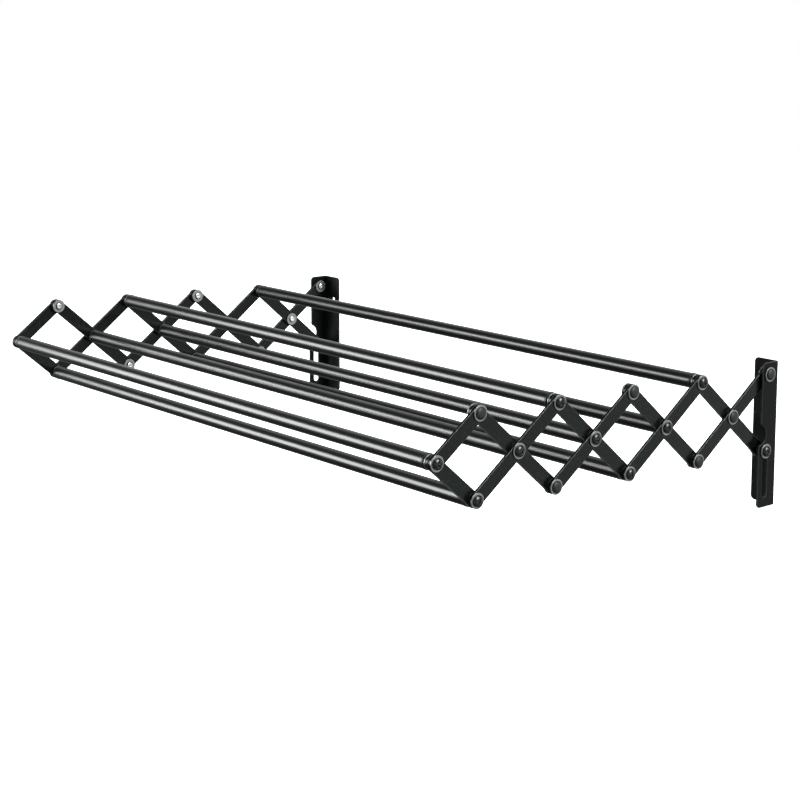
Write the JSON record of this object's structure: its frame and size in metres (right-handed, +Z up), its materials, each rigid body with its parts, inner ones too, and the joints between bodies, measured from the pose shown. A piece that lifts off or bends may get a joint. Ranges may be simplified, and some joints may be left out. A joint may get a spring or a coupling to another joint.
{
  "type": "wall mounted drying rack",
  "caption": "Accordion drying rack for a wall: tubular cross rods between scissor lattices of flat bars that pull out from slotted wall brackets.",
  "frame": {"origin": "centre of the rectangle of wall screws, on the wall plane", "axes": "+X along the rods, +Y into the wall, +Z up; the rack reaches out towards -Y"},
  "size_m": [0.8094, 0.4897, 0.1705],
  "materials": {
    "bracket_coat": "satin black powder coat",
    "bar_coat": "satin black powder coat",
    "rod_enamel": "semi-gloss black enamel",
    "washer_steel": "plain zinc-plated washer",
    "plug_plastic": "black moulded plug",
    "screw_black": "black oxide screw",
    "rivet_black": "black head, bright peened tail",
    "bush_plastic": "black nylon bush",
    "nut_steel": "zinc-plated nut"
  },
  "bodies": {
    "brackets": {"bracket_left": "bracket_coat", "bracket_right": "bracket_coat", "rivets_wall": "rivet_black", "washers_brackets": "washer_steel"},
    "outer_bars_1": {"outer_bar_1_left": "bar_coat", "outer_bar_1_right": "bar_coat", "rivets_cross_1": "rivet_black", "rivets_low_1": "rivet_black", "washers_outer_bars_1": "washer_steel"},
    "inner_bars_1": {"inner_bar_1_left": "bar_coat", "inner_bar_1_right": "bar_coat", "slot_screws": "screw_black", "slot_bushes": "bush_plastic", "slot_nuts": "nut_steel", "washers_inner_bars_1": "washer_steel"},
    "outer_bars_2": {"outer_bar_2_left": "bar_coat", "outer_bar_2_right": "bar_coat", "rod_top_1": "rod_enamel", "rod_cross_2": "rod_enamel", "rod_plugs_outer_bars_2": "plug_plastic", "rod_screws_outer_bars_2": "screw_black", "washers_outer_bars_2": "washer_steel"},
    "inner_bars_2": {"inner_bar_2_left": "bar_coat", "inner_bar_2_right": "bar_coat"},
    "outer_bars_3": {"outer_bar_3_left": "bar_coat", "outer_bar_3_right": "bar_coat", "rivets_top_2": "rivet_black", "rivets_low_3": "rivet_black", "rod_cross_3": "rod_enamel", "rod_plugs_outer_bars_3": "plug_plastic", "rod_screws_outer_bars_3": "screw_black", "washers_outer_bars_3": "washer_steel"},
    "inner_bars_3": {"inner_bar_3_left": "bar_coat", "inner_bar_3_right": "bar_coat", "rod_low_2": "rod_enamel", "rod_plugs_inner_bars_3": "plug_plastic", "rod_screws_inner_bars_3": "screw_black", "washers_inner_bars_3": "washer_steel"},
    "outer_bars_4": {"outer_bar_4_left": "bar_coat", "outer_bar_4_right": "bar_coat", "rod_top_3": "rod_enamel", "rod_cross_4": "rod_enamel", "rod_plugs_outer_bars_4": "plug_plastic", "rod_screws_outer_bars_4": "screw_black", "washers_outer_bars_4": "washer_steel"},
    "inner_bars_4": {"inner_bar_4_left": "bar_coat", "inner_bar_4_right": "bar_coat"},
    "outer_bars_5": {"outer_bar_5_left": "bar_coat", "outer_bar_5_right": "bar_coat", "rivets_top_4": "rivet_black", "washers_outer_bars_5": "washer_steel"},
    "inner_bars_5": {"inner_bar_5_left": "bar_coat", "inner_bar_5_right": "bar_coat", "rod_low_4": "rod_enamel", "rod_tip": "rod_enamel", "rod_plugs_inner_bars_5": "plug_plastic", "rod_screws_inner_bars_5": "screw_black", "washers_inner_bars_5": "washer_steel"}
  },
  "joints": [
    {"name": "fold", "type": "hinge", "parent": "brackets", "child": "outer_bars_1", "pos_m": [0, -0.015, 0.072], "axis": [1, 0, 0], "range_deg": [0, 41.8]},
    {"name": "pivot_cross_1", "type": "hinge", "parent": "outer_bars_1", "child": "inner_bars_1", "pos_m": [0, -0.06832, 0.03226], "axis": [1, 0, 0], "range_deg": [-82.03, 0]},
    {"name": "pivot_low_1", "type": "hinge", "parent": "outer_bars_1", "child": "inner_bars_2", "pos_m": [0, -0.12164, -0.00748], "axis": [1, 0, 0], "range_deg": [-82.03, 0]},
    {"name": "pivot_top_1", "type": "hinge", "parent": "inner_bars_1", "child": "outer_bars_2", "pos_m": [0, -0.11828, 0.07615], "axis": [1, 0, 0], "range_deg": [0, 82.03]},
    {"name": "pivot_top_2", "type": "hinge", "parent": "inner_bars_2", "child": "outer_bars_3", "pos_m": [0, -0.22155, 0.0803], "axis": [1, 0, 0], "range_deg": [0, 82.03]},
    {"name": "pivot_low_2", "type": "hinge", "parent": "outer_bars_2", "child": "inner_bars_3", "pos_m": [0, -0.22491, -0.00334], "axis": [1, 0, 0], "range_deg": [-82.03, 0]},
    {"name": "pivot_low_3", "type": "hinge", "parent": "outer_bars_3", "child": "inner_bars_4", "pos_m": [0, -0.32819, 0.00081], "axis": [1, 0, 0], "range_deg": [-82.03, 0]},
    {"name": "pivot_top_3", "type": "hinge", "parent": "inner_bars_3", "child": "outer_bars_4", "pos_m": [0, -0.32483, 0.08444], "axis": [1, 0, 0], "range_deg": [0, 82.03]},
    {"name": "pivot_top_4", "type": "hinge", "parent": "inner_bars_4", "child": "outer_bars_5", "pos_m": [0, -0.42811, 0.08859], "axis": [1, 0, 0], "range_deg": [0, 82.03]},
    {"name": "pivot_low_4", "type": "hinge", "parent": "outer_bars_4", "child": "inner_bars_5", "pos_m": [0, -0.43147, 0.00496], "axis": [1, 0, 0], "range_deg": [-82.03, 0]}
  ],
  "couplings": [
    {"joint": "pivot_cross_1", "follows": "fold", "ratio": -1.96},
    {"joint": "pivot_low_1", "follows": "fold", "ratio": -1.96},
    {"joint": "pivot_top_1", "follows": "fold", "ratio": 1.96},
    {"joint": "pivot_top_2", "follows": "fold", "ratio": 1.96},
    {"joint": "pivot_low_2", "follows": "fold", "ratio": -1.96},
    {"joint": "pivot_low_3", "follows": "fold", "ratio": -1.96},
    {"joint": "pivot_top_3", "follows": "fold", "ratio": 1.96},
    {"joint": "pivot_top_4", "follows": "fold", "ratio": 1.96},
    {"joint": "pivot_low_4", "follows": "fold", "ratio": -1.96}
  ]
}
